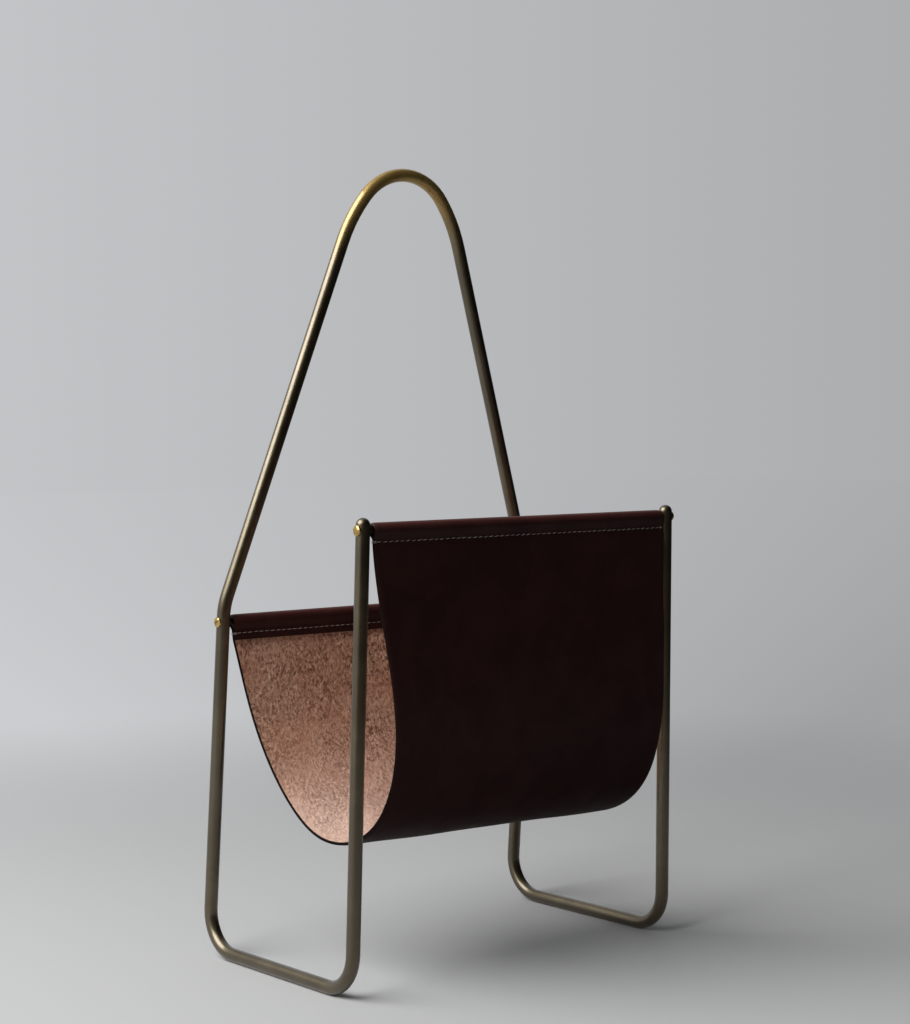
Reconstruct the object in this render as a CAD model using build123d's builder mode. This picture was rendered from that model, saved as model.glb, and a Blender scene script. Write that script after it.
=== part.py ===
from build123d import *
from math import acos, asin, atan2, cos, degrees, hypot, radians, sin, tan
import os

# Magazine rack: one long tube bent into two side frames and a carrying handle, with a leather
# sling hung between two cross rods. Millimetres. +Z is up, the sling's low front edge faces -Y,
# the floor is Z = 0 and the origin lies midway between the four feet.

# Tube frame, measured on the tube's axis
tube_diameter = 12.0
tube_wall = 1.5
foot_depth = 214.0  # from the front feet to the rear feet
base_width = 360.0  # across the rear feet
front_toe_in = 1.0  # how much nearer the middle each front foot stands
front_draw_in = 6.0  # how far each front post leans in by its top
kink_draw_in = 1.0  # how far each rear leg leans in by its kink
front_post_end = 393.5  # height at which the front posts are cut off
front_lean = 13.0  # how far the front posts lean out by that height
kink_height = 316.0
rear_lean = radians(5.4)  # the rear legs and the handle lie in one plane, tipped forward
overall_height = 709.0
foot_bend = 34.0
kink_bend = 60.0
shoulder_half = 60.0  # out from the middle to where the handle's legs turn in towards its arch
shoulder_drop = 41.5  # from the top of the arch down to the same place, in the leaning plane
shoulder_slope = radians(38.4)  # how steeply the handle leans in between shoulder and arch
shoulder_straight = 2.0  # left between the bends of the shoulder and the arch

# Cross rods, screws and plugs
rod_diameter = 6.0
front_rod_drop = 4.5  # below the cut end of the front posts
rear_rod_drop = 14.5  # below the kink
screw_diameter = 4.0
screw_length = 20.0
screw_head_diameter = 8.8
screw_rim = 1.4
screw_dome = 1.1
slot_width = 1.1
slot_depth = 1.2
seat_depth = 0.7  # flat cut into the tube under each screw head
tapped_depth = 12.0
plug_length = 16.0
slip_fit = 0.05  # all-round gap between metal pieces that touch

# Leather sling
leather = 3.0
sleeve_gap = 0.2  # between a rod and the hem it runs through
front_hem_gap = 2.5  # between the end of a hem and the post beside it
rear_hem_gap = 3.5
hem_depth = 17.0  # from the rod's axis down to the cut edge of the flap
straight_drop = 23.0  # from the front rod's axis down to where the wall starts to lean out
seam_drop = 9.8  # from the rod's axis down to the stitches
sleeve_close = 7.5  # from the rod's axis down to where the flap bends flat against the wall
flap_round = 4.0
front_belly_out = 14.5  # how far the front wall swells out past the front rod, and at what height
front_belly_height = 271.0
rear_belly_in = 14.0  # how far in from the rear rod the rear wall is at this height
rear_belly_height = 219.5
front_haunch_in = 16.5  # in from each rod to where the walls round under, at one height
rear_haunch_in = 64.5
haunch_height = 140.0
keel_y = -26.5  # the lowest line of the sling
keel_height = 120.0
waist_inset = 19.0  # from the end of the rear hem in to the side of the sling's narrow bottom
waist_slope = 0.1  # how fast the sides draw in just below the hems
front_waist_height = 190.0
rear_waist_height = 130.0

# Seam thread
stitch_pitch = 6.0
stitch_length = 4.4
thread_width = 0.9
thread_height = 0.5
seam_margin = 1.5

foot_half = base_width / 2
front_foot_half = foot_half - front_toe_in
front_top_half = front_foot_half - front_draw_in
kink_half = foot_half - kink_draw_in
tube_radius = tube_diameter / 2
bore_radius = tube_radius - tube_wall
rod_radius = rod_diameter / 2
screw_radius = screw_diameter / 2


def in_rear_plane(half_width, height):
    """Point on the leaning plane of the rear legs and handle."""
    return Vector(half_width, foot_depth / 2 - (height - tube_radius) * tan(rear_lean), height)


def front_post(side, height):
    """Point on the axis of a front post."""
    up = (height - tube_radius) / (front_post_end - tube_radius)
    half_width = front_foot_half + (front_top_half - front_foot_half) * up
    return Vector(side * half_width, -foot_depth / 2 - front_lean * up, height)


def rear_leg(side, height):
    """Point on the axis of a rear leg below the kink."""
    up = (height - tube_radius) / (kink_height - tube_radius)
    return in_rear_plane(side * (foot_half + (kink_half - foot_half) * up), height)


# Above the shoulders the handle leans in along two lines that touch the arch; they would meet
# at its peak. Each shoulder bends as widely as its run up to the arch allows.
shoulder_height = overall_height - tube_radius - shoulder_drop * cos(rear_lean)
arch_bend = (shoulder_half * cos(shoulder_slope) - shoulder_drop * sin(shoulder_slope)) / (
    1 - sin(shoulder_slope)
)
arch_run = shoulder_half * sin(shoulder_slope) + (shoulder_drop - arch_bend) * cos(shoulder_slope)
leg_slope = atan2(kink_half - shoulder_half, (shoulder_height - kink_height) / cos(rear_lean))
shoulder_bend = (arch_run - shoulder_straight) / tan((shoulder_slope - leg_slope) / 2)
shoulder = in_rear_plane(-shoulder_half, shoulder_height)
handle_peak = in_rear_plane(
    0, shoulder_height + shoulder_half / tan(shoulder_slope) * cos(rear_lean)
)

front_rod_height = front_post_end - front_rod_drop
rear_rod_height = kink_height - rear_rod_drop
front_rod_end = front_post(1, front_rod_height)
rear_rod_end = rear_leg(1, rear_rod_height)
joints = [  # name, post, height, side, angle of the screw's slot
    ("front_left", front_post, front_rod_height, -1, 5),
    ("front_right", front_post, front_rod_height, 1, 62),
    ("rear_left", rear_leg, rear_rod_height, -1, 28),
    ("rear_right", rear_leg, rear_rod_height, 1, -40),
]

os.makedirs("parts", exist_ok=True)


def save(builder, name):
    """Name a finished piece and write it to its own file."""
    builder.part.label = name
    export_step(builder.part, f"parts/{name}.step")


# ---- Frame tube: from one front post, round the handle, to the other front post ----
half_path = [
    front_post(-1, front_post_end),
    front_post(-1, tube_radius),
    rear_leg(-1, tube_radius),
    rear_leg(-1, kink_height),
    shoulder,
]
other_half = [Vector(-point.X, point.Y, point.Z) for point in reversed(half_path)]
bends = [foot_bend, foot_bend, kink_bend, shoulder_bend]

with BuildPart() as frame_tube:
    with BuildLine() as frame_path:
        FilletPolyline(
            *half_path, handle_peak, *other_half, radius=[*bends, arch_bend, *reversed(bends)]
        )
    with BuildSketch(frame_path.line ^ 0):
        Circle(tube_radius)
        Circle(bore_radius, mode=Mode.SUBTRACT)
    sweep()
    for _, post, height, side, _ in joints:
        outward = Plane(origin=post(side, height), x_dir=(0, side, 0), z_dir=(side, 0, 0))
        with BuildSketch(outward.offset(-tube_diameter)):
            Circle(screw_radius + slip_fit)
        extrude(amount=2 * tube_diameter, mode=Mode.SUBTRACT)
        with BuildSketch(outward.offset(tube_radius - seat_depth)):
            Circle(screw_head_diameter / 2 + slip_fit)
        extrude(amount=tube_diameter, mode=Mode.SUBTRACT)
save(frame_tube, "frame_tube")


# ---- Domed plugs in the cut ends of the front posts, drilled across for the screws ----
for name, side in (("front_left_end_plug", -1), ("front_right_end_plug", 1)):
    end = front_post(side, front_post_end)
    up_post = Plane(origin=end, z_dir=end - front_post(side, tube_radius))
    with BuildPart() as end_plug:
        with Locations(up_post.location):
            Sphere(tube_radius, arc_size1=0, align=(Align.CENTER, Align.CENTER, Align.MIN))
        with BuildSketch(up_post):
            Circle(bore_radius - slip_fit)
        extrude(amount=-plug_length)
        with BuildSketch(Plane(origin=front_post(side, front_rod_height), z_dir=(side, 0, 0))):
            Circle(screw_radius + slip_fit)
        extrude(amount=tube_diameter, both=True, mode=Mode.SUBTRACT)
    save(end_plug, name)


# ---- Cross rods, their ends shaped to the tube and tapped for the screws ----
for name, post, height in (
    ("front_rod", front_post, front_rod_height),
    ("rear_rod", rear_leg, rear_rod_height),
):
    end = post(1, height)
    with BuildPart() as rod:
        with BuildSketch(Plane(origin=(0, end.Y, end.Z), z_dir=(1, 0, 0))):
            Circle(rod_radius)
        extrude(amount=end.X, both=True)
        for side in (-1, 1):
            foot = post(side, tube_radius)
            with BuildSketch(Plane(origin=foot, z_dir=post(side, height) - foot)):
                Circle(tube_radius + slip_fit)
            extrude(amount=overall_height, mode=Mode.SUBTRACT)
            with BuildSketch(Plane(origin=post(side, height), z_dir=(-side, 0, 0))):
                Circle(screw_radius + slip_fit)
            extrude(amount=tube_radius + tapped_depth, mode=Mode.SUBTRACT)
    save(rod, name)


# ---- Slotted screws, driven through the posts into the rods ----
head_radius = screw_head_diameter / 2
head_height = screw_rim + screw_dome
for name, post, height, side, slot_turn in joints:
    axle = Vector(side, 0, 0)
    under_head = post(side, height) + axle * (tube_radius - seat_depth)
    with BuildPart() as screw:
        with BuildSketch(Plane(origin=under_head, x_dir=(0, 0, 1), z_dir=(0, side, 0))):
            with BuildLine():
                shank = Polyline(
                    (0, -screw_length),
                    (screw_radius, -screw_length),
                    (screw_radius, 0),
                    (head_radius, 0),
                    (head_radius, screw_rim),
                )
                dome = TangentArc((0, head_height), shank @ 1, tangent=(1, 0))
                Line(dome @ 0, shank @ 0)
            make_face()
        revolve(axis=Axis(under_head, axle))
        with BuildSketch(Plane(origin=under_head + axle * head_height, z_dir=axle)):
            Rectangle(slot_width, screw_head_diameter + slot_width, rotation=slot_turn)
        extrude(amount=-slot_depth, mode=Mode.SUBTRACT)
    save(screw, name + "_screw")


# ---- Leather sling: one sheet folded back over each rod and stitched to itself ----
def hem_plane(rod_end, outward, tilt):
    """Plane across a hem, its X pointing out of the sling and its Y up along the wall."""
    across = (0, outward * cos(tilt), -sin(tilt))
    return Plane(origin=(0, rod_end.Y, rod_end.Z), x_dir=across, z_dir=(outward, 0, 0))


half_leather = leather / 2
wrap_radius = rod_radius + sleeve_gap + half_leather  # to the middle of the leather
flap_offset = wrap_radius - leather
front_hem_half = front_rod_end.X - tube_radius - front_hem_gap
rear_hem_half = rear_rod_end.X - tube_radius - rear_hem_gap

waist_half = rear_hem_half - waist_inset
widest_half = max(front_hem_half, rear_hem_half) + leather

# Middle of the leather between the hems, Y and Z
front_belly = (front_rod_end.Y - front_belly_out, front_belly_height)
front_haunch = (front_rod_end.Y + front_haunch_in, haunch_height)
keel = (keel_y, keel_height)
rear_haunch = (rear_rod_end.Y - rear_haunch_in, haunch_height)
rear_belly = (rear_rod_end.Y - rear_belly_in, rear_belly_height)

# The front hem hangs straight down; the rear one points from its sleeve's side to the rear belly
rear_drop = rear_rod_height - rear_belly_height
rear_tilt = asin(wrap_radius / hypot(rear_belly_in, rear_drop)) + atan2(rear_belly_in, rear_drop)
front_hem = hem_plane(front_rod_end, -1, 0)
rear_hem = hem_plane(rear_rod_end, 1, rear_tilt)
hems = [  # plane, half width, height of the waist, towards -Y or +Y
    (front_hem, front_hem_half, front_waist_height, 1),
    (rear_hem, rear_hem_half, rear_waist_height, -1),
]
wrap_angle = 360 - degrees(
    acos(wrap_radius / hypot(flap_offset, sleeve_close)) + atan2(sleeve_close, flap_offset)
)


def wall_point(hem, below_rod):
    """Y and Z of a point on the middle of a hem's outer ply."""
    point = hem.from_local_coords((wrap_radius, -below_rod))
    return point.Y, point.Z


with BuildPart() as leather_sling:
    with BuildSketch(Plane.YZ):
        with BuildLine():
            front_side = Line(wall_point(front_hem, 0), wall_point(front_hem, straight_drop))
            rear_side = Line(wall_point(rear_hem, hem_depth), wall_point(rear_hem, 0))
            Spline(
                front_side @ 1,
                front_belly,
                front_haunch,
                keel,
                rear_haunch,
                rear_belly,
                rear_side @ 0,
                tangents=[front_side % 1, rear_side % 0],
            )
        trace(line_width=leather)
    extrude(amount=widest_half, both=True)

    # The wall's side edges run straight down each hem, then curve in to the narrow waist
    for hem, hem_half, waist_height, reach in hems:
        hem_top = hem.origin.Z + 2 * wrap_radius
        hem_bottom = wall_point(hem, hem_depth)[1]
        for side in (-1, 1):
            with BuildSketch(Plane.XZ.offset(-keel_y)):
                with BuildLine():
                    edge = Spline(
                        (side * hem_half, hem_bottom),
                        (side * waist_half, waist_height),
                        tangents=[(-side * waist_slope, -1), (0, -1)],
                    )
                    Polyline(
                        edge @ 1,
                        (side * waist_half, 0),
                        (side * widest_half, 0),
                        (side * widest_half, hem_top),
                        (side * hem_half, hem_top),
                        edge @ 0,
                    )
                make_face()
            extrude(amount=reach * foot_depth, mode=Mode.SUBTRACT)

    # Over the rod, down the inside and flat against the wall
    for hem, hem_half, _, _ in hems:
        with BuildSketch(hem):
            with BuildLine():
                wrap = CenterArc((0, 0), wrap_radius, 0, wrap_angle)
                FilletPolyline(
                    wrap @ 1,
                    (flap_offset, -sleeve_close),
                    (flap_offset, -hem_depth),
                    radius=flap_round,
                )
            trace(line_width=leather)
        extrude(amount=hem_half, both=True)
save(leather_sling, "leather_sling")


# ---- Seam threads: a row of stitches on each face of each hem ----
for name, hem, hem_half in (
    ("front_seam_thread", front_hem, front_hem_half),
    ("rear_seam_thread", rear_hem, rear_hem_half),
):
    stitches = int(2 * (hem_half - seam_margin) / stitch_pitch)
    with BuildPart() as thread:
        for face, facing in ((wrap_radius + half_leather, 1), (flap_offset - half_leather, -1)):
            row = Plane(
                origin=hem.from_local_coords((face, -seam_drop)),
                x_dir=(1, 0, 0),
                z_dir=hem.x_dir * facing,
            )
            with BuildSketch(row):
                with GridLocations(stitch_pitch, 0, stitches, 1):
                    Rectangle(stitch_length, thread_width)
            extrude(amount=thread_height)
    save(thread, name)
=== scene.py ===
import math

import bmesh
import bpy
import numpy as np
from mathutils import Matrix, Vector


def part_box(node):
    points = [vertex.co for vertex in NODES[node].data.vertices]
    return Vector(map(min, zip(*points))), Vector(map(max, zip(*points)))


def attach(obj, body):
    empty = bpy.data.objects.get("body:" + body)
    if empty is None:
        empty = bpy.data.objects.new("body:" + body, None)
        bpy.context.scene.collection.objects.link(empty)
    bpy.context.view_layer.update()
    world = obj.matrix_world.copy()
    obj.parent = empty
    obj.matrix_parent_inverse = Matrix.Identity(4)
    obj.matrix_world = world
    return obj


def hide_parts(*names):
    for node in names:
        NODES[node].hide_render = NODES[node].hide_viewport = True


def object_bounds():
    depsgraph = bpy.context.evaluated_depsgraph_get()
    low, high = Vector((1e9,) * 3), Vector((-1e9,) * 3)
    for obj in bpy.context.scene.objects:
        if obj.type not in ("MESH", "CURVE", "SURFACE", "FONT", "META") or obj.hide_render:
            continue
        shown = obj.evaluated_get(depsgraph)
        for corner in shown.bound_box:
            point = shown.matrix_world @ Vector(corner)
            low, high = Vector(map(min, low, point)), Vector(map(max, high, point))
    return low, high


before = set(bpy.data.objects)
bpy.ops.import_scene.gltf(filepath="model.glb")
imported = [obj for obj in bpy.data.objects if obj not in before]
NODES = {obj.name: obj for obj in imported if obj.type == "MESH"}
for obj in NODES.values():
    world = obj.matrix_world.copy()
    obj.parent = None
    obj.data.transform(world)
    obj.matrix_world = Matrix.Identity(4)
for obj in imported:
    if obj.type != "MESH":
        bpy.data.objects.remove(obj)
cad_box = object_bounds()
MM = 0.001


# ---------------------------------------------------------------- node materials
class Material:
    """A small builder for one Principled material."""

    def __init__(self, name, **constants):
        self.material = bpy.data.materials.new(name)
        self.material.use_nodes = True
        self.tree = self.material.node_tree
        self.shader = self.tree.nodes["Principled BSDF"]
        for socket, value in constants.items():
            self.shader.inputs[socket.replace("_", " ")].default_value = value
        self.place = self.node("ShaderNodeTexCoord").outputs["Object"]

    def node(self, kind, **settings):
        made = self.tree.nodes.new(kind)
        for key, value in settings.items():
            setattr(made, key, value)
        return made

    def link(self, source, target):
        self.tree.links.new(source, target)

    def stretched(self, scale):
        """Object coordinates scaled by a different amount along each axis."""
        mapping = self.node("ShaderNodeMapping")
        mapping.inputs["Scale"].default_value = scale
        self.link(self.place, mapping.inputs["Vector"])
        return mapping.outputs["Vector"]

    def noise(self, scale, detail=3.0, roughness=0.5, distortion=0.0, place=None):
        made = self.node("ShaderNodeTexNoise")
        made.inputs["Scale"].default_value = scale
        made.inputs["Detail"].default_value = detail
        made.inputs["Roughness"].default_value = roughness
        made.inputs["Distortion"].default_value = distortion
        self.link(place or self.place, made.inputs["Vector"])
        return made.outputs["Fac"]

    def voronoi(self, scale):
        made = self.node("ShaderNodeTexVoronoi")
        made.inputs["Scale"].default_value = scale
        self.link(self.place, made.inputs["Vector"])
        return made.outputs["Distance"]

    def remap(self, value, low, high, to_low=0.0, to_high=1.0, smooth=False):
        made = self.node("ShaderNodeMapRange")
        if smooth:
            made.interpolation_type = "SMOOTHSTEP"
        for socket, number in zip(("From Min", "From Max", "To Min", "To Max"), (low, high, to_low, to_high)):
            made.inputs[socket].default_value = number
        self.link(value, made.inputs["Value"])
        return made.outputs["Result"]

    def math(self, operation, first, second):
        made = self.node("ShaderNodeMath", operation=operation)
        for socket, value in zip(made.inputs, (first, second)):
            if isinstance(value, (int, float)):
                socket.default_value = value
            else:
                self.link(value, socket)
        return made.outputs["Value"]

    def axis(self, letter):
        split = self.node("ShaderNodeSeparateXYZ")
        self.link(self.place, split.inputs["Vector"])
        return split.outputs[letter]

    def mix(self, factor, first, second):
        made = self.node("ShaderNodeMix", data_type="RGBA")
        self.link(factor, made.inputs["Factor"])
        for socket, value in ((made.inputs["A"], first), (made.inputs["B"], second)):
            if isinstance(value, tuple):
                socket.default_value = (*value, 1.0)
            else:
                self.link(value, socket)
        return made.outputs["Result"]

    def bump(self, height, distance, strength, under=None):
        made = self.node("ShaderNodeBump")
        made.inputs["Distance"].default_value = distance
        made.inputs["Strength"].default_value = strength
        self.link(height, made.inputs["Height"])
        if under is not None:
            self.link(under, made.inputs["Normal"])
        return made.outputs["Normal"]

    def finish(self, colour, roughness, normal):
        for socket, value in (("Base Color", colour), ("Roughness", roughness), ("Normal", normal)):
            if value is not None:
                self.link(value, self.shader.inputs[socket])
        return self.material


def patinated_brass():
    """Brass darkened with age: olive brown on the legs, warm gold where hands polish the handle."""
    m = Material("patinated_brass", Coat_Weight=0.7, Coat_Roughness=0.16)
    clouds = m.remap(m.noise(16.0, 4.0, 0.6, 0.6), 0.38, 0.66, smooth=True)
    brown = m.mix(clouds, (0.102, 0.080, 0.047), (0.132, 0.106, 0.065))
    gold = m.mix(clouds, (0.365, 0.230, 0.055), (0.420, 0.280, 0.078))
    height = m.math("ADD", m.axis("Z"), m.math("MULTIPLY", m.noise(11.0, 2.0), 0.10))
    handled = m.remap(height, 0.66, 0.765, smooth=True)
    m.link(m.remap(handled, 0.0, 1.0, 1.0, 0.72), m.shader.inputs["Metallic"])
    colour = m.mix(handled, brown, gold)
    stains = m.remap(m.noise(95.0, 5.0, 0.7, 1.2), 0.52, 0.70, 0.0, 0.45, smooth=True)
    colour = m.mix(stains, colour, (0.110, 0.082, 0.046))
    specks = m.remap(m.noise(520.0, 2.0, 0.7), 0.63, 0.73, 0.0, 0.6, smooth=True)
    colour = m.mix(specks, colour, (0.060, 0.044, 0.028))
    roughness = m.remap(m.noise(60.0, 5.0, 0.65), 0.3, 0.7, 0.34, 0.44)
    fine = m.bump(m.noise(1500.0, 2.0, 0.6), 0.00004, 0.5)
    waves = m.bump(m.noise(85.0, 3.0, 0.5), 0.00012, 0.35, under=fine)
    return m.finish(colour, roughness, waves)


def rod_brass_in_shade():
    """The cross rods, almost black all over: painted shade, as their ends show only in the hollow of each
    leather roll.
    """
    m = Material("rod_brass_in_shade", Metallic=1.0)
    tone = m.remap(m.noise(70.0, 5.0, 0.65, 0.8), 0.35, 0.7, smooth=True)
    # Painted shade: near-black brass
    colour = m.mix(tone, (0.040, 0.030, 0.018), (0.075, 0.056, 0.032))
    roughness = m.remap(m.noise(160.0, 3.0), 0.3, 0.7, 0.42, 0.58)
    return m.finish(colour, roughness, m.bump(m.noise(900.0, 3.0), 0.00006, 0.5))


def polished_brass():
    """Newer, brighter brass of the screw heads."""
    m = Material("polished_brass", Metallic=1.0)
    tone = m.remap(m.noise(260.0, 3.0), 0.35, 0.7, smooth=True)
    colour = m.mix(tone, (0.62, 0.43, 0.16), (0.40, 0.26, 0.09))
    roughness = m.remap(m.noise(900.0, 3.0), 0.3, 0.7, 0.20, 0.34)
    return m.finish(colour, roughness, m.bump(m.noise(1400.0, 2.0), 0.00003, 0.4))


ROLL_TOP_HIGHLIGHT = "roll_top_highlight"  # attribute of the sling's mesh: 1 on the upper side of each roll of leather round a rod, the mask of a painted highlight


def grain_leather():
    """Smooth waxed calf leather, almost black with a red-brown depth; painted shade in its creases and
    towards the bottom, and a painted highlight on top of each roll.
    """
    m = Material("grain_leather", Specular_Tint=(1.0, 0.78, 0.74, 1.0))
    # Painted shade: towards the bottom the leather turns darker, less glossy and rougher
    painted_dark_bottom = m.remap(m.axis("Z"), 0.26, 0.14, smooth=True)
    m.link(m.remap(painted_dark_bottom, 0.0, 1.0, 0.11, 0.035), m.shader.inputs["Specular IOR Level"])
    mottle = m.remap(m.noise(26.0, 5.0, 0.62, 0.4), 0.34, 0.70, smooth=True)
    colour = m.mix(mottle, (0.0205, 0.0074, 0.0068), (0.0290, 0.0108, 0.0096))
    # Painted highlight: redder and lighter on the upper side of each roll round a rod
    roll_highlight = m.node("ShaderNodeAttribute", attribute_name=ROLL_TOP_HIGHLIGHT).outputs["Fac"]
    colour = m.mix(roll_highlight, colour, m.mix(mottle, (0.058, 0.0180, 0.0150), (0.076, 0.0245, 0.0205)))
    pores = m.voronoi(1250.0)
    creases = m.noise(520.0, 6.0, 0.66, 0.8)
    # Painted shade in the hollows of the creases
    crease_shade = m.remap(creases, 0.30, 0.48, 0.30, 0.0, smooth=True)
    colour = m.mix(crease_shade, colour, (0.010, 0.0036, 0.0030))
    # Painted shade towards the bottom
    colour = m.mix(m.math("MULTIPLY", painted_dark_bottom, 0.45), colour, (0.0100, 0.0040, 0.0034))
    roughness = m.remap(m.noise(38.0, 6.0, 0.65), 0.3, 0.72, 0.36, 0.50)
    roughness = m.math("ADD", roughness, m.math("MULTIPLY", painted_dark_bottom, 0.14))
    normal = m.bump(pores, 0.00016, 0.30)
    normal = m.bump(creases, 0.00022, 0.35, under=normal)
    normal = m.bump(m.noise(48.0, 3.0), 0.0006, 0.25, under=normal)
    return m.finish(colour, roughness, normal)


def suede():
    """The flesh side: tan, its nap brushed up and down the sheet and broken into crumbs and short ridges;
    painted shade in the hollows of the nap, painted highlights on the crumbs, painted light towards the
    bottom.
    """
    m = Material(
        "suede",
        Roughness=0.95,
        Specular_IOR_Level=0.04,
        Sheen_Weight=0.25,
        Sheen_Roughness=0.40,
        Sheen_Tint=(1.0, 0.82, 0.72, 1.0),
    )
    crumbs = m.noise(300.0, 4.0, 0.66, 0.3)
    curls = m.noise(640.0, 3.0, 0.66, 0.6, place=m.stretched((1.0, 0.42, 0.42)))
    nap = m.math("ADD", m.math("MULTIPLY", crumbs, 0.5), m.math("MULTIPLY", curls, 0.5))
    worn = m.remap(m.noise(13.0, 4.0, 0.6), 0.38, 0.60, 0.46, 1.0, smooth=True)
    patches = m.remap(m.noise(17.0, 3.0, 0.55), 0.35, 0.68, smooth=True)
    # Painted light: lighter and paler towards the bottom, where the sheet faces up into the light
    lit_bottom = m.remap(m.axis("Z"), 0.205, 0.110, smooth=True)
    colour = m.mix(patches, (0.550, 0.285, 0.187), (0.635, 0.375, 0.266))
    colour = m.mix(lit_bottom, colour, m.mix(patches, (0.880, 0.580, 0.455), (0.930, 0.660, 0.540)))
    # Painted shade in the hollows of the nap, less of it towards the bottom
    nap_hollow_shade = m.math("MULTIPLY", m.remap(nap, 0.43, 0.495, 1.0, 0.0, smooth=True), worn)
    nap_hollow_shade = m.math("MULTIPLY", nap_hollow_shade, m.math("SUBTRACT", 1.0, m.math("MULTIPLY", lit_bottom, 0.6)))
    colour = m.mix(nap_hollow_shade, colour, m.mix(lit_bottom, (0.215, 0.080, 0.040), (0.36, 0.17, 0.105)))
    # Painted highlights on the tops of the crumbs
    crumb_highlight = m.math("MULTIPLY", m.remap(nap, 0.515, 0.60, 0.0, 1.0, smooth=True), worn)
    colour = m.mix(crumb_highlight, colour, m.mix(lit_bottom, (0.92, 0.60, 0.45), (0.98, 0.73, 0.60)))
    normal = m.bump(curls, 0.0022, 0.9)
    normal = m.bump(m.math("MULTIPLY", crumbs, worn), 0.0055, 1.0, under=normal)
    return m.finish(colour, None, normal)


def edge_and_roll_shade():
    """Cut edge, dyed black and burnished smooth; the same near-black is painted as shade on the flesh side
    inside each roll.
    """
    m = Material("edge_and_roll_shade", Specular_Tint=(1.0, 0.80, 0.72, 1.0))
    waxed = m.node("ShaderNodeAttribute", attribute_name=ROLL_TOP_HIGHLIGHT).outputs["Fac"]
    m.link(m.remap(waxed, 0.3, 1.0, 0.04, 0.9), m.shader.inputs["Specular IOR Level"])
    layers = m.stretched((1.0, 0.25, 0.25))
    tone = m.remap(m.noise(240.0, 4.0, 0.6, place=layers), 0.35, 0.7, smooth=True)
    colour = m.mix(tone, (0.0045, 0.0030, 0.0026), (0.0100, 0.0066, 0.0056))
    roughness = m.remap(m.noise(180.0, 3.0), 0.3, 0.7, 0.42, 0.6)
    return m.finish(colour, roughness, m.bump(m.noise(700.0, 3.0), 0.0002, 0.5))


def waxed_thread():
    """Linen thread dulled by wax, its plies laid across at a slant, with painted shade in the grooves between
    them.
    """
    m = Material("waxed_thread", Roughness=0.7, Specular_IOR_Level=0.3, Sheen_Weight=0.2, Sheen_Roughness=0.4)
    plies = m.node("ShaderNodeTexWave", wave_type="BANDS", bands_direction="DIAGONAL")
    plies.inputs["Scale"].default_value = 900.0
    plies.inputs["Distortion"].default_value = 1.2
    m.link(m.place, plies.inputs["Vector"])
    tone = m.remap(m.noise(300.0, 3.0), 0.3, 0.7, smooth=True)
    colour = m.mix(tone, (0.40, 0.325, 0.285), (0.53, 0.450, 0.400))
    # Painted shade in the grooves between the plies
    colour = m.mix(m.remap(plies.outputs["Fac"], 0.2, 0.8, 0.35, 0.0), colour, (0.15, 0.10, 0.08))
    return m.finish(colour, None, m.bump(plies.outputs["Fac"], 0.0002, 0.8))


BRASS = patinated_brass()
SHADED_ROD_BRASS = rod_brass_in_shade()
SCREW_BRASS = polished_brass()
GRAIN = grain_leather()
SUEDE = suede()
EDGE_AND_SHADE = edge_and_roll_shade()
THREAD = waxed_thread()

for name, node in NODES.items():
    if name.endswith("_screw"):
        finish = SCREW_BRASS
    elif name.endswith("_rod"):
        finish = SHADED_ROD_BRASS
    elif name in ("leather_sling", "front_seam_thread", "rear_seam_thread"):
        continue
    else:
        finish = BRASS
    node.data.materials.clear()
    node.data.materials.append(finish)


# ---------------------------------------------------------------- the sling's section, in millimetres
LEATHER = 3.0
PLY_GAP = 0.06  # keeps the two stitched plies from touching
SLEEVE_GAP = 0.2  # between a rod and the roll of leather round it
HEM_DEPTH = 17.0  # from the rod's axis down to the cut edge of the rear flap
FRONT_FLAP = 11.6  # the front flap is trimmed close below its seam
SEAM_DROP = 9.8  # from the rod's axis down to the front stitches
REAR_SEAM_DROP = 11.0  # sewn a little lower by hand
SEAM_OUT = 2.3  # the seam draws the wall in from the roll's side to this far from the rod's axis
WALL_START = 12.0  # below the rod's axis, where the hem ends and the wall's curve begins
SLEEVE_CLOSE = 7.5  # below the rod's axis, where the two plies come together
FLAP_ROUND = 4.0
FRONT_START_SLOPE = 0.088  # outward, as the front wall leaves its hem
FRONT_BELLY = (-14.8, 272.0)  # along Y from the front rod, and height
FRONT_HAUNCH = (19.7, 140.0)
KEEL = (-27.2, 119.3)  # Y and height of the lowest line
REAR_HAUNCH = (-65.1, 140.0)  # along Y from the rear rod, and height
REAR_BELLY = (-14.2, 217.2)
# The waist: in from the ends of the rear hem, its height, and how fast the sides draw in below the hem
FRONT_WAIST_INSET, FRONT_WAIST_HEIGHT, FRONT_WAIST_SLOPE = 18.9, 177.0, 0.008
REAR_WAIST_INSET, REAR_WAIST_HEIGHT, REAR_WAIST_SLOPE = 17.5, 118.4, 0.166
REAR_ROLL_EXTRA = 1.4  # the rear roll is cut this much wider at each end than the wall under it
REAR_ROLL_TAPER = 8.0  # below the rod's axis, where that starts
FRONT_FLAP_INSET = 1.8  # the front flap is cut this much narrower at each end
FRONT_FLAP_TAPER = 4, 12  # from and to how far along the strip that ends
HALVES_BLEND = 30.0  # to each side of the keel, where the front half's width turns into the rear's
RIGHT_FULLER = 1.2  # the rear half's right-hand edge is cut this much fuller than its left-hand one
RIGHT_FULLER_RUN = 40.0  # past the hem, over which that comes in
RIGHT_TOP_FULLER = 1.9  # the front half's is this much fuller at the seam, and then wanders in and out
RIGHT_TOP_RUN = 24, 36  # from and to how far along the strip that comes in
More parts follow.
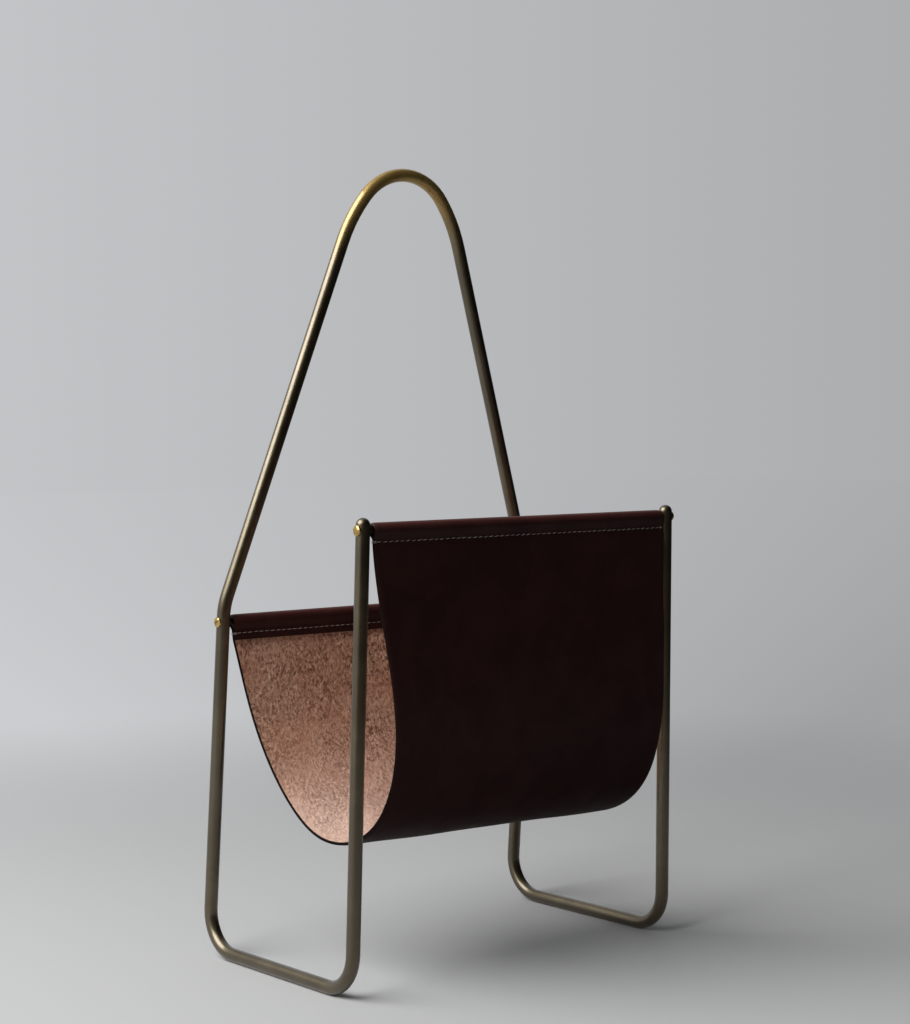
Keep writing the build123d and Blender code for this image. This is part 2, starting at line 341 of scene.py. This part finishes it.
# Each change of the front half's right-hand edge: by how much, from and to how far past the hem
RIGHT_EDGE_CHANGES = ((-3.9, 0, 62), (4.0, 92, 168), (-0.8, 190, 240))
STITCH_PITCH = 6.0
SEAM_MARGIN = 1.5  # the least distance from the end of a hem in to the first needle hole
FRONT_HEM_INSET = 3.25  # from the end of the front rod in to the end of its hem
HEM_RUN = 46.0  # of the strip's length, at each end, that the hem and its seam take
HEM_STEP, WALL_STEP = 0.8, 3.2  # between the rings of the mesh in a hem, and in the wall far from it
STEP_GROWTH = 0.12  # how fast the step widens from one to the other
SAG = 5.7  # at SAG_WIDTH to the right of SAG_FROM
SAG_FROM, SAG_WIDTH = -150.0, 280.0
SAG_HEIGHTS = 170.0, 330.0  # all of the sag below the first, and none above the second
PUCKER_WIDTH, PUCKER_DEPTH = 1.1, 0.26  # of the groove that the thread presses into the leather
HOLE_DEPTH = 0.20  # how much deeper the groove is at a needle hole
DRAW_WIDTH, DRAW_DEPTH = 3.2, 0.18  # of the wider hollow along the seam


def centre_of(node):
    low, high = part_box(node)
    return (low + high) / 2 / MM


def half_width_of(node):
    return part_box(node)[1].x / MM


front_rod, rear_rod = centre_of("front_rod"), centre_of("rear_rod")
rod_radius = (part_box("front_rod")[1].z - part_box("front_rod")[0].z) / MM / 2
sleeve = rod_radius + SLEEVE_GAP + LEATHER / 2  # from the rod's axis to the middle of the leather
seam_flap = SEAM_OUT - LEATHER - PLY_GAP
rear_hem_half = half_width_of("leather_sling")
front_hem_half = half_width_of("front_rod") - FRONT_HEM_INSET


def rounded(corner, before, after, radius, steps=9):
    """Points round a corner between two directions, both pointing away from it."""
    cut = radius * math.tan((math.pi - math.acos(np.clip(before @ after, -1, 1))) / 2)
    first, last = corner + before * cut, corner + after * cut
    t = np.linspace(0, 1, steps)[:, None]
    return list((1 - t) ** 2 * first + 2 * t * (1 - t) * corner + t * t * last)


def roll_end(out, turn):
    """Where a ply leaves the roll: the corner below it, the angle on the rod, the way up between them."""
    corner = np.array([out, -SLEEVE_CLOSE])
    angle = -math.atan2(SLEEVE_CLOSE, out) - turn * math.acos(sleeve / np.linalg.norm(corner))
    touch = sleeve * np.array([math.cos(angle), math.sin(angle)])
    return corner, angle, (touch - corner) / np.linalg.norm(touch - corner)


def hem_path(flap_depth, steps=44):
    """From the flap's cut edge, up and over the rod, to the wall below the seam: (out, up) pairs."""
    down = np.array([0.0, -1.0])
    flap_corner, flap_turn, flap_up = roll_end(seam_flap, 1)
    wall_corner, wall_turn, wall_up = roll_end(SEAM_OUT, -1)
    flap_turn %= 2 * math.pi
    points = [np.array([seam_flap, -flap_depth])]
    points += rounded(flap_corner, down, flap_up, FLAP_ROUND)
    for angle in np.linspace(flap_turn, wall_turn, steps):
        points.append(sleeve * np.array([math.cos(angle), math.sin(angle)]))
    points += rounded(wall_corner, wall_up, down, FLAP_ROUND)
    return np.array(points)


def clamped_spline(knots, first_slope, last_slope, step):
    """A smooth curve through the knots with given directions at its two ends."""
    knots = np.array(knots, float)
    spans = np.linalg.norm(np.diff(knots, axis=0), axis=1)
    count = len(knots)
    matrix, right = np.zeros((count, count)), np.zeros((count, 2))
    matrix[0, 0] = matrix[-1, -1] = 1
    right[0], right[-1] = first_slope, last_slope
    for i in range(1, count - 1):
        before, after = spans[i - 1], spans[i]
        matrix[i, i - 1 : i + 2] = after, 2 * (before + after), before
        right[i] = 3 * (
            after / before * (knots[i] - knots[i - 1]) + before / after * (knots[i + 1] - knots[i])
        )
    slopes = np.linalg.solve(matrix, right)
    points = []
    for i, span in enumerate(spans):
        for t in np.arange(0, 1, step / span):
            points.append(
                (2 * t**3 - 3 * t**2 + 1) * knots[i]
                + (t**3 - 2 * t**2 + t) * span * slopes[i]
                + (3 * t**2 - 2 * t**3) * knots[i + 1]
                + (t**3 - t**2) * span * slopes[i + 1]
            )
    points.append(knots[-1])
    return np.array(points)


# Each hem has its own axes in the YZ plane: out of the sling, and up along the wall
rear_drop = rear_rod.z - REAR_BELLY[1]
rear_tilt = math.asin(SEAM_OUT / math.hypot(REAR_BELLY[0], rear_drop)) + math.atan2(-REAR_BELLY[0], rear_drop)
front_at, rear_at = np.array([front_rod.y, front_rod.z]), np.array([rear_rod.y, rear_rod.z])
front_axes = np.array([[-1.0, 0.0], [0.0, 1.0]])
rear_axes = np.array(
    [[math.cos(rear_tilt), -math.sin(rear_tilt)], [math.sin(rear_tilt), math.cos(rear_tilt)]]
)


def section_path():
    """The middle of the leather in the YZ plane, from the front flap's edge to the rear one's."""
    front_hem = front_at + hem_path(FRONT_FLAP) @ front_axes
    rear_hem = rear_at + hem_path(HEM_DEPTH)[::-1] @ rear_axes
    wall_start = front_at + np.array([SEAM_OUT, -WALL_START]) @ front_axes
    wall_end = rear_at + np.array([SEAM_OUT, -WALL_START]) @ rear_axes
    start_direction = np.array([-FRONT_START_SLOPE, -1.0]) / math.hypot(FRONT_START_SLOPE, 1)
    wall = clamped_spline(
        [
            wall_start,
            (front_rod.y + FRONT_BELLY[0], FRONT_BELLY[1]),
            (front_rod.y + FRONT_HAUNCH[0], FRONT_HAUNCH[1]),
            KEEL,
            (rear_rod.y + REAR_HAUNCH[0], REAR_HAUNCH[1]),
            (rear_rod.y + REAR_BELLY[0], REAR_BELLY[1]),
            wall_end,
        ],
        start_direction,
        rear_axes[1],
        1.0,
    )
    return np.vstack([front_hem, wall, rear_hem])


def resampled(points, spacing):
    """Points along a polyline, at the spacing that a function of distance and total length gives."""
    along = np.concatenate([[0], np.cumsum(np.linalg.norm(np.diff(points, axis=0), axis=1))])
    at, stops = 0.0, []
    while at < along[-1]:
        stops.append(at)
        at += spacing(at, along[-1])
    stops[-1] = (stops[-2] + along[-1]) / 2 if along[-1] - stops[-1] < 0.3 else stops[-1]
    stops.append(along[-1])
    stops = np.array(stops)
    return stops, np.stack([np.interp(stops, along, points[:, k]) for k in (0, 1)], axis=1)


def smoothstep(value, low, high):
    t = np.clip((value - low) / (high - low), 0, 1)
    return t * t * (3 - 2 * t)


def hermite(value, low, high, start, end, start_slope):
    """From start, leaving at start_slope, to a level end. Value falls from high to low."""
    t = np.clip((high - value) / (high - low), 0, 1)
    ease = 3 * t**2 - 2 * t**3
    return start * (1 - ease) + end * ease - start_slope * (high - low) * (t**3 - 2 * t**2 + t)


middle = section_path()
keep = np.concatenate([[True], np.linalg.norm(np.diff(middle, axis=0), axis=1) > 1e-6])
middle = middle[keep]


def spacing(at, total):
    from_end = min(at, total - at)
    if from_end < HEM_RUN:
        return HEM_STEP
    return min(HEM_STEP + (from_end - HEM_RUN) * STEP_GROWTH, WALL_STEP)


along, path = resampled(middle, spacing)
strip_length = along[-1]
tangent = np.gradient(path, along, axis=0)
tangent /= np.linalg.norm(tangent, axis=1, keepdims=True)
grainward = np.stack([-tangent[:, 1], tangent[:, 0]], axis=1)  # towards the grain side

# Half the width of the sheet at each place on the path
front_half = hermite(
    path[:, 1], FRONT_WAIST_HEIGHT, front_rod.z - HEM_DEPTH,
    front_hem_half, rear_hem_half - FRONT_WAIST_INSET, FRONT_WAIST_SLOPE,
)
rear_half = hermite(
    path[:, 1], REAR_WAIST_HEIGHT, rear_rod.z - HEM_DEPTH,
    rear_hem_half, rear_hem_half - REAR_WAIST_INSET, REAR_WAIST_SLOPE,
)
rear_half += REAR_ROLL_EXTRA * smoothstep(path[:, 1], rear_rod.z - REAR_ROLL_TAPER, rear_rod.z)
rearward = smoothstep(path[:, 0], KEEL[0] - HALVES_BLEND, KEEL[0] + HALVES_BLEND)
half_width = front_half + (rear_half - front_half) * rearward
half_width -= FRONT_FLAP_INSET * (1 - smoothstep(along, *FRONT_FLAP_TAPER))
from_end = np.minimum(along, strip_length - along)
fuller = RIGHT_FULLER * smoothstep(from_end, HEM_RUN, HEM_RUN + RIGHT_FULLER_RUN)
front_fuller = RIGHT_TOP_FULLER * smoothstep(along, *RIGHT_TOP_RUN)
for change, start, end in RIGHT_EDGE_CHANGES:
    front_fuller += change * smoothstep(along, HEM_RUN + start, HEM_RUN + end)
fuller = np.where(along < strip_length / 2, front_fuller, fuller)


# ---------------------------------------------------------------- the leather sheet
def sag(x, y, z):
    """The right-hand side hangs lower, more so towards the bottom."""
    low = 1 - smoothstep(z, *SAG_HEIGHTS)
    return -SAG * (x - SAG_FROM) / SAG_WIDTH * low


def ripple(x, s):
    """Slow hand-cut unevenness of the sheet, out of its own plane."""
    quiet = smoothstep(np.minimum(s, strip_length - s), HEM_RUN - 6, HEM_RUN + 60)
    wave = (
        0.50 * np.sin(x / 61.0 + 0.9) * np.sin(s / 57.0 + 0.4)
        + 0.28 * np.sin(x / 27.0 - s / 71.0 + 2.0)
        + 0.16 * np.sin(x / 15.0 + s / 22.0 + 4.1)
    )
    return wave * quiet


def pucker(x, s, seam_at):
    """The seam pulls the leather down along the thread, most of all at each needle hole."""
    narrow = np.exp(-(((s - seam_at) / PUCKER_WIDTH) ** 2))
    wide = np.exp(-(((s - seam_at) / DRAW_WIDTH) ** 2))
    holes = 0.5 + 0.5 * np.cos(2 * math.pi * x / STITCH_PITCH)
    return -(PUCKER_DEPTH + HOLE_DEPTH * holes) * narrow - DRAW_DEPTH * wide


def seam_places():
    """Distance along the strip of each seam in both of its plies, flap and wall."""
    found = []
    for at, axes, drop, half in (
        (front_at, front_axes, SEAM_DROP, along < strip_length / 2),
        (rear_at, rear_axes, REAR_SEAM_DROP, along >= strip_length / 2),
    ):
        for out in (seam_flap, SEAM_OUT):
            near = np.linalg.norm(path - (at + np.array([out, -drop]) @ axes), axis=1)
            found.append(along[np.argmin(np.where(half, near, strip_length))])
    return found


SEAMS = seam_places()
CORNER = 0.95  # how far the cut edges are rounded
CORNER_STEPS = 4
SHADED_RUN = 34.0  # of the strip's length, at each end, whose flesh side inside the roll is painted near-black as shade
ROLL_FADE = 7.0  # beyond the roll, where the painted highlight on its upper side dies away
GRAIN_CORNER = 2  # of the corner's steps, how many still show the grain side's finish
BEVEL = 3.0  # how far in from the cut edge the grain face starts to round off
BEVEL_DROP = 0.42  # how far the grain face has come down by the cut edge
even = np.linspace(-1, 1, int(front_hem_half * 2 / (STITCH_PITCH / 2)) // 2 * 2 + 1)
near_end = 1 - np.linspace(0, BEVEL, 5) / front_hem_half
across = np.concatenate([-near_end, even[np.abs(even) < near_end[-1] - 0.004], near_end[::-1]])
columns = len(across)


def edge_points():
    """Round the cut edge from the grain face to the flesh face: (in from the edge, from the middle)."""
    half = LEATHER / 2
    points = []
    for angle in np.linspace(math.pi / 2, 0, CORNER_STEPS + 1)[1:]:
        points.append((CORNER - CORNER * math.cos(angle), half - CORNER + CORNER * math.sin(angle)))
    for angle in np.linspace(0, -math.pi / 2, CORNER_STEPS + 1)[:-1]:
        points.append((CORNER - CORNER * math.cos(angle), -half + CORNER + CORNER * math.sin(angle)))
    return points


def ring(index, thickness=1.0, shift=0.0):
    """One loop of points round the sheet at one place on the path."""
    half, s = half_width[index], along[index]
    base = path[index] + tangent[index] * shift
    loop = []
    inner = half - CORNER
    for u in across:
        loop.append((u * inner, LEATHER / 2))
    for inset, depth in edge_points():
        loop.append((half - inset, depth))
    for u in across[::-1]:
        loop.append((u * inner, -LEATHER / 2))
    for inset, depth in edge_points()[::-1]:
        loop.append((-(half - inset), depth))
    loop = np.array(loop)
    x, depth = loop[:, 0], loop[:, 1] * thickness
    grain = depth > 0
    lift = ripple(x, np.full(len(x), s))
    dent = sum(pucker(x, s, seam) for seam in SEAMS)
    upper = np.clip(2 * depth / LEATHER, 0, 1)
    bevel = BEVEL_DROP * np.clip(1 - (inner - np.abs(x)) / BEVEL, 0, 1) ** 2 * upper
    depth = depth + lift + np.where(grain, dent, 0.0) - bevel
    y = base[0] + outward[index][0] * depth
    z = base[1] + outward[index][1] * depth
    x = x + fuller[index] * np.clip(x / half, 0, 1)
    return np.stack([x, y, z + sag(x, y, z)], axis=1)


def end_ring(index, angle, inward):
    """One ring of the rounded cut at an end of the strip."""
    thickness = 1 - CORNER / (LEATHER / 2) * (1 - math.sin(angle))
    return ring(index, thickness, inward * (CORNER - CORNER * math.cos(angle)))


# The grain side is away from the keel's centre of curvature at the belly, and so all along the strip
belly = int(np.argmin(path[:, 0]))
outward = grainward if grainward[belly][0] < 0 else -grainward

rings = []
for angle in np.linspace(0, math.pi / 2, CORNER_STEPS + 1)[:-1]:
    rings.append(end_ring(0, angle, 1))
first_full = len(rings)
for i in range(2, len(path) - 2):
    rings.append(ring(i))
for angle in np.linspace(math.pi / 2, 0, CORNER_STEPS + 1)[1:]:
    rings.append(end_ring(len(path) - 1, angle, -1))

shaded_rings = int(SHADED_RUN / HEM_STEP)
ring_size = len(rings[0])
edge_count = len(edge_points())
vertices = np.concatenate(rings) * MM
faces, slots = [], []
GRAIN_SLOT, SUEDE_SLOT, EDGE_AND_SHADE_SLOT = 0, 1, 2
for r in range(len(rings) - 1):
    # The flesh side at the rounded ends takes the edge's finish, and inside each roll it is painted
    # near-black as shade
    edge_or_shaded = r < first_full or r >= len(rings) - 1 - CORNER_STEPS
    edge_or_shaded = edge_or_shaded or min(r, len(rings) - 1 - r) < shaded_rings
    for c in range(ring_size):
        here = r * ring_size + c
        beside = r * ring_size + (c + 1) % ring_size
        faces.append((here, beside, beside + ring_size, here + ring_size))
        if c < columns - 1 + GRAIN_CORNER or c >= ring_size - GRAIN_CORNER:
            slots.append(GRAIN_SLOT)
        elif columns + edge_count <= c < 2 * columns + edge_count - 1:
            slots.append(EDGE_AND_SHADE_SLOT if edge_or_shaded else SUEDE_SLOT)
        else:
            slots.append(EDGE_AND_SHADE_SLOT)
for r in (0, len(rings) - 1):
    start = r * ring_size
    for c in range(columns - 1):
        opposite = columns + edge_count + (columns - 1 - c)
        quad = (start + c, start + c + 1, start + opposite - 1, start + opposite)
        faces.append(quad if r else quad[::-1])
        slots.append(EDGE_AND_SHADE_SLOT)
    for edge_columns in (
        range(columns - 1, columns + edge_count + 1),
        range(2 * columns + edge_count - 1, ring_size + 1),
    ):
        loop = [start + c % ring_size for c in edge_columns]
        faces.append(tuple(loop) if not r else tuple(loop[::-1]))
        slots.append(EDGE_AND_SHADE_SLOT)

mesh = bpy.data.meshes.new("leather_sling_sheet")
mesh.from_pydata(vertices.tolist(), [], faces)
for material in (GRAIN, SUEDE, EDGE_AND_SHADE):
    mesh.materials.append(material)
mesh.polygons.foreach_set("material_index", slots)
mesh.polygons.foreach_set("use_smooth", [True] * len(mesh.polygons))
mesh.update()
mesh.validate()
sling = bpy.data.objects.new("leather_sling_sheet", mesh)
# Mask of the painted highlight: near a rod's roll, and only on its upper side
roll_top_highlight = np.zeros(len(vertices))
for rod in (front_rod, rear_rod):
    away = np.hypot(vertices[:, 1] / MM - rod.y, vertices[:, 2] / MM - rod.z)
    near = 1 - smoothstep(away, sleeve + LEATHER / 2, sleeve + LEATHER / 2 + ROLL_FADE)
    roll_top_highlight = np.maximum(roll_top_highlight, near * smoothstep(vertices[:, 2] / MM - rod.z, -2.0, sleeve + LEATHER / 2))
mesh.attributes.new(ROLL_TOP_HIGHLIGHT, "FLOAT", "POINT").data.foreach_set("value", roll_top_highlight)
bpy.context.scene.collection.objects.link(sling)
work = bmesh.new()
work.from_mesh(mesh)
bmesh.ops.recalc_face_normals(work, faces=work.faces)
work.to_mesh(mesh)
work.free()
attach(sling, "root")
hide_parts("leather_sling")


# ---------------------------------------------------------------- stitches
THREAD_RADIUS = 0.28
WRAP_RADIUS = 1.1 * THREAD_RADIUS  # of the thread looped round the ends of a seam
STITCH_RUN = 4.0  # visible length of one stitch
EDGE_WRAP = 0.2  # how far the thread stands off the cut edge that it is looped round
# Hand sewing: how much stitches differ along the seam, in slant (radians), in length and across it
SHIFT_SPREAD, SLANT_SPREAD, RUN_SPREAD, WANDER_SPREAD = 0.12, 0.04, 0.18, 0.07


def tube(points, radius):
    """A round thread along 3-D points, thinner at its two ends."""
    points, sides = np.array(points), 8
    ahead = np.gradient(points, axis=0)
    ahead /= np.linalg.norm(ahead, axis=1, keepdims=True)
    first = np.cross(ahead[0], (0.31, 0.52, 0.79))
    rings = []
    for k, (point, forward) in enumerate(zip(points, ahead)):
        first = first - forward * (first @ forward)
        first /= np.linalg.norm(first)
        second = np.cross(forward, first)
        thick = radius * (0.7 + 0.3 * math.sin(math.pi * k / (len(points) - 1)))
        for side in range(sides):
            angle = 2 * math.pi * side / sides
            rings.append(point + thick * (math.cos(angle) * first + math.sin(angle) * second))
    faces = [tuple(range(sides))[::-1], tuple(len(rings) - sides + side for side in range(sides))]
    for k in range(len(points) - 1):
        for side in range(sides):
            here = k * sides + side
            beside = k * sides + (side + 1) % sides
            faces.append((here, beside, beside + sides, here + sides))
    return rings, faces


def stitch_line(x, tilt, run):
    """One stitch as (along the seam, out of the face, up): it rises from one hole and dips into the next."""
    line = []
    for t in np.linspace(-0.5, 0.5, 9):
        rise = -THREAD_RADIUS
        if abs(t) < 0.5:
            rise = THREAD_RADIUS * (1.25 * math.cos(math.pi * t) ** 0.6 - 0.55)
        line.append((x + t * run * math.cos(tilt), rise, t * run * math.sin(tilt)))
    return line


def wrap_line(side, hole, edge, flap_edge, depth, up):
    """Thread looped once round the cut edge, from the last hole in one face to that in the other."""
    stand = THREAD_RADIUS * 0.5
    outside, flap_outside = edge + side * EDGE_WRAP, flap_edge + side * EDGE_WRAP
    return [
        (hole, -THREAD_RADIUS, up),
        (hole + side * 0.5, stand, up),
        (edge - side * 0.6, stand + 0.1, up),
        (outside, -0.6, up - 0.1),
        (outside, 0.3 - depth / 2, up - 0.2),
        (flap_outside, -0.3 - depth / 2, up - 0.25),
        (flap_outside, 0.6 - depth, up - 0.4),
        (flap_edge - side * 0.6, -depth - stand - 0.1, up - 0.4),
        (hole + side * 0.5, -depth - stand, up - 0.4),
        (hole, THREAD_RADIUS - depth, up - 0.4),
    ]


def seam(name, node, at, axes, hem_half, flap_inset, drop, tilts):
    """Both faces of one hem's seam, as one mesh."""
    rng = np.random.default_rng(len(name) + 7)
    count = int(2 * (hem_half - SEAM_MARGIN) / STITCH_PITCH)
    threads = []
    for out, facing, lean in ((SEAM_OUT + LEATHER / 2, 1, tilts[0]), (seam_flap - LEATHER / 2, -1, tilts[1])):
        for k in range(count):
            x = (k - (count - 1) / 2) * STITCH_PITCH + rng.normal(0, SHIFT_SPREAD)
            slant = lean + rng.normal(0, SLANT_SPREAD)
            line = stitch_line(x, slant, STITCH_RUN + rng.normal(0, RUN_SPREAD))
            wander = -drop + rng.normal(0, WANDER_SPREAD)
            line = [(px, out + (rise - 0.2) * facing, wander + up) for px, rise, up in line]
            threads.append((line, THREAD_RADIUS))
    for side in (-1, 1):
        hole = side * count / 2 * STITCH_PITCH
        for up in (0.55, -0.45):
            edges = side * hem_half, side * (hem_half - flap_inset)
            line = wrap_line(side, hole, *edges, 2 * LEATHER + PLY_GAP, up)
            line = [(px, SEAM_OUT + LEATHER / 2 + rise, up - drop) for px, rise, up in line]
            threads.append((line, WRAP_RADIUS))
    points, faces = [], []
    for line, radius in threads:
        placed = []
        for x, out, up in line:
            y, z = at + np.array([out, up]) @ axes
            placed.append((x, y, z + sag(x, y, z)))
        made, quads = tube(placed, radius)
        faces += [tuple(len(points) + v for v in quad) for quad in quads]
        points += made
    mesh = bpy.data.meshes.new(name)
    mesh.from_pydata((np.array(points) * MM).tolist(), [], faces)
    mesh.materials.append(THREAD)
    mesh.polygons.foreach_set("use_smooth", [True] * len(mesh.polygons))
    mesh.update()
    made = bpy.data.objects.new(name, mesh)
    bpy.context.scene.collection.objects.link(made)
    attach(made, "root")
    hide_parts(node)


seam(
    "front_seam_stitches", "front_seam_thread", front_at, front_axes,
    front_hem_half, FRONT_FLAP_INSET, SEAM_DROP, (0.17, 0.1),
)
seam(
    "rear_seam_stitches", "rear_seam_thread", rear_at, rear_axes,
    rear_hem_half, 0.0, REAR_SEAM_DROP, (-0.17, 0.1),
)

# ---------------------------------------------------------------- studio
BACKDROP = (0.478, 0.485, 0.498)
LEFT = (-0.773, 0.634, 0.0)  # of the camera, where the backdrop is a little brighter
BRIGHT_SIDE = (-0.46, 0.83, 0.31)  # towards the lit end of the studio
DARK_END, BRIGHT_END = 0.035, 1.15  # of the backdrop's colour, as gloss shows it
FLOOR_COLOUR = (0.46, 0.46, 0.46, 1)
FLOOR_REACH = 12.0
FLOOR_FADE = 0.45, 1.7  # metres from the middle, between which the floor turns into the backdrop
RACK_MIDDLE = Vector((0, 0, 0.33))  # where the lamps point


def joined(tree, kind, sources, **settings):
    """A new node with its first inputs linked to sockets or set to values."""
    made = tree.nodes.new(kind)
    for key, value in settings.items():
        setattr(made, key, value)
    for socket, source in zip(made.inputs, sources):
        if hasattr(source, "links"):
            tree.links.new(source, socket)
        elif source is not None:
            socket.default_value = source
    return made


def backdrop_rays(tree):
    """1 for what the camera sees, in gloss and through glass too, and 0 for light on the object."""
    path = tree.nodes.new("ShaderNodeLightPath").outputs
    both = joined(tree, "ShaderNodeMath", (path["Is Camera Ray"], path["Is Glossy Ray"]), operation="ADD")
    sources = both.outputs[0], path["Is Transmission Ray"]
    every = joined(tree, "ShaderNodeMath", sources, operation="ADD", use_clamp=True)
    return every.outputs[0]


def backdrop_colour(tree, direction):
    """Nearly even to the camera; gloss shows it lit from one side and falling off towards the other."""
    gloss = tree.nodes.new("ShaderNodeLightPath").outputs["Is Glossy Ray"]
    shades = []
    for side, low, high, dim, bright, kind in (
        (LEFT, -0.4, 0.4, 0.74, 1.26, "LINEAR"),
        (BRIGHT_SIDE, -0.15, 0.40, DARK_END, BRIGHT_END, "SMOOTHSTEP"),
    ):
        towards = joined(tree, "ShaderNodeVectorMath", (direction, side), operation="DOT_PRODUCT")
        sources = towards.outputs["Value"], low, high, dim, bright
        shade = joined(tree, "ShaderNodeMapRange", sources, interpolation_type=kind)
        shades.append(shade.outputs["Result"])
    mixed = joined(tree, "ShaderNodeMix", (gloss, None, shades[0], shades[1]))
    scaled = joined(tree, "ShaderNodeVectorMath", (BACKDROP,), operation="SCALE")
    tree.links.new(mixed.outputs["Result"], scaled.inputs["Scale"])
    return scaled.outputs["Vector"]


def paint_floor():
    """Pale and matt round the rack, fading into the backdrop further out."""
    material = bpy.data.materials.new("floor")
    material.use_nodes = True
    tree = material.node_tree
    matt = tree.nodes["Principled BSDF"]
    matt.inputs["Base Color"].default_value = FLOOR_COLOUR
    matt.inputs["Roughness"].default_value = 0.6
    matt.inputs["Specular IOR Level"].default_value = 0.2
    place = tree.nodes.new("ShaderNodeTexCoord").outputs["Object"]
    distance = joined(tree, "ShaderNodeVectorMath", (place,), operation="LENGTH").outputs["Value"]
    direction = joined(tree, "ShaderNodeVectorMath", (place,), operation="NORMALIZE").outputs["Vector"]
    fade = joined(tree, "ShaderNodeMapRange", (distance, *FLOOR_FADE), interpolation_type="SMOOTHSTEP")
    seen = joined(tree, "ShaderNodeMath", (fade.outputs["Result"], backdrop_rays(tree)), operation="MULTIPLY")
    far = joined(tree, "ShaderNodeEmission", (backdrop_colour(tree, direction),))
    blend = joined(tree, "ShaderNodeMixShader", (seen.outputs[0], matt.outputs[0], far.outputs[0]))
    tree.links.new(blend.outputs[0], tree.nodes["Material Output"].inputs["Surface"])
    return material


def light_world():
    world = bpy.data.worlds.new("studio")
    bpy.context.scene.world = world
    world.use_nodes = True
    tree = world.node_tree
    fill = tree.nodes["Background"]
    fill.inputs["Color"].default_value = (0.94, 0.97, 1.0, 1)
    fill.inputs["Strength"].default_value = 0.12
    direction = tree.nodes.new("ShaderNodeTexCoord").outputs["Generated"]
    backdrop = joined(tree, "ShaderNodeBackground", (backdrop_colour(tree, direction),))
    blend = joined(tree, "ShaderNodeMixShader", (backdrop_rays(tree), fill.outputs[0], backdrop.outputs[0]))
    tree.links.new(blend.outputs[0], tree.nodes["World Output"].inputs["Surface"])


def softbox(name, place, size, watts, colour=(1, 1, 1)):
    """A rectangular lamp turned towards the middle of the rack."""
    light = bpy.data.lights.new(name, "AREA")
    light.shape = "RECTANGLE"
    light.size, light.size_y = size
    light.energy = watts
    light.color = colour
    lamp = bpy.data.objects.new(name, light)
    lamp.location = place
    lamp.rotation_mode = "QUATERNION"
    lamp.rotation_quaternion = (RACK_MIDDLE - Vector(place)).to_track_quat("-Z", "Y")
    lamp.visible_camera = False
    bpy.context.scene.collection.objects.link(lamp)


ground = cad_box[0].z
corners = [(x * FLOOR_REACH, y * FLOOR_REACH, ground) for x, y in ((-1, -1), (1, -1), (1, 1), (-1, 1))]
floor_mesh = bpy.data.meshes.new("floor")
floor_mesh.from_pydata(corners, [], [(0, 1, 2, 3)])
floor_mesh.materials.append(paint_floor())
floor = bpy.data.objects.new("floor", floor_mesh)
bpy.context.scene.collection.objects.link(floor)
light_world()
softbox("window", (-1.66, 0.36, 2.00), (2.5, 1.8), 92)
softbox("window_sill", (-2.16, 0.28, 1.31), (1.7, 1.0), 17, (0.97, 0.985, 1.0))

# ---------------------------------------------------------------- camera
CAMERA_PLACE = (-1.2124, -1.5052, 0.4753)
CAMERA_AZIMUTH, CAMERA_PITCH, CAMERA_ROLL = -0.6870, 0.04146, -0.0079  # in radians
SENSOR, FOCAL_LENGTH = 36.0, 74.91797  # in millimetres
camera_data = bpy.data.cameras.new("camera")
camera_data.sensor_width = SENSOR
camera_data.lens = FOCAL_LENGTH
camera = bpy.data.objects.new("camera", camera_data)
bpy.context.scene.collection.objects.link(camera)
ahead = Vector(
    (
        -math.sin(CAMERA_AZIMUTH) * math.cos(CAMERA_PITCH),
        math.cos(CAMERA_AZIMUTH) * math.cos(CAMERA_PITCH),
        -math.sin(CAMERA_PITCH),
    )
)
right = Vector((math.cos(CAMERA_AZIMUTH), math.sin(CAMERA_AZIMUTH), 0))
up = right.cross(ahead)
rolled_right = right * math.cos(CAMERA_ROLL) + up * math.sin(CAMERA_ROLL)
rolled_up = up * math.cos(CAMERA_ROLL) - right * math.sin(CAMERA_ROLL)
turned = Matrix((rolled_right, rolled_up, -ahead)).transposed()
camera.matrix_world = Matrix.Translation(CAMERA_PLACE) @ turned.to_4x4()
bpy.context.scene.camera = camera
bpy.context.scene.view_settings.view_transform = "Standard"
